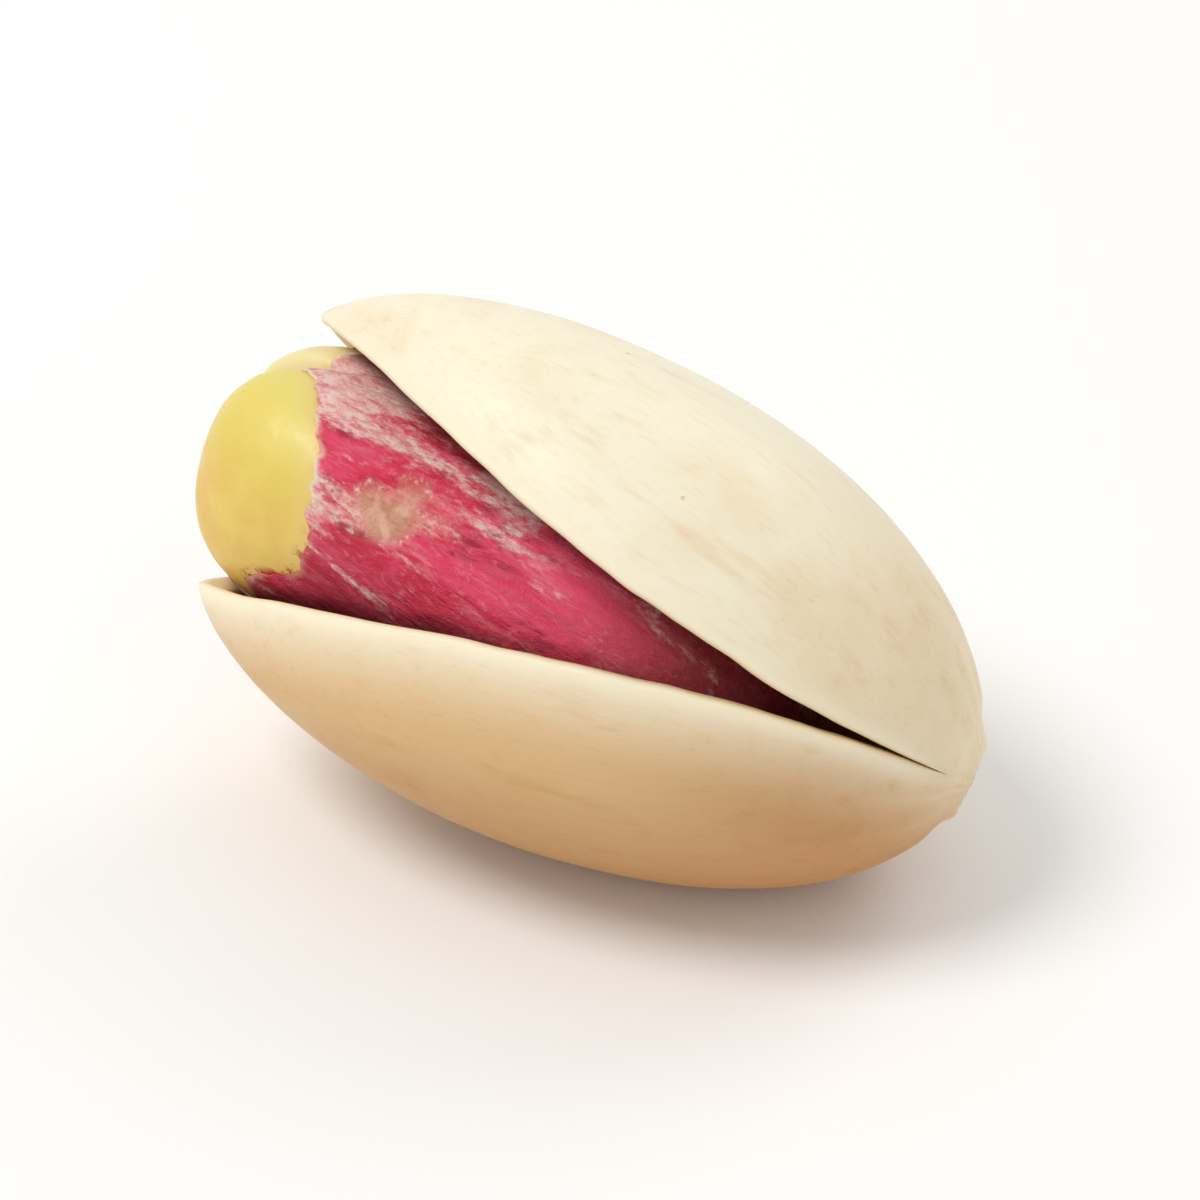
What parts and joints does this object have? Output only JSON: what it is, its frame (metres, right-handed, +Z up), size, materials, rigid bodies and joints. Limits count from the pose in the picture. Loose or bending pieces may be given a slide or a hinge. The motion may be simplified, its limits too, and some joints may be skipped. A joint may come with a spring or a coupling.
{
  "type": "pistachio in shell",
  "caption": "Pistachio in its shell, split open along the suture, with a skinned kernel whose bare tip stands out.",
  "frame": {"origin": "on the surface that the nut rests on, under the middle of its box", "axes": "+Z up, +X from the open tip towards the stem end, and the wide split faces -Y and a little up"},
  "size_m": [0.0214, 0.0132, 0.0138],
  "materials": {
    "shell": "smooth, satin",
    "seed_coat": "wrinkled, papery, slightly shiny",
    "kernel": "waxy"
  },
  "bodies": {
    "root": {"shell": "shell", "seed_coat": "seed_coat", "kernel": "kernel"}
  },
  "joints": []
}
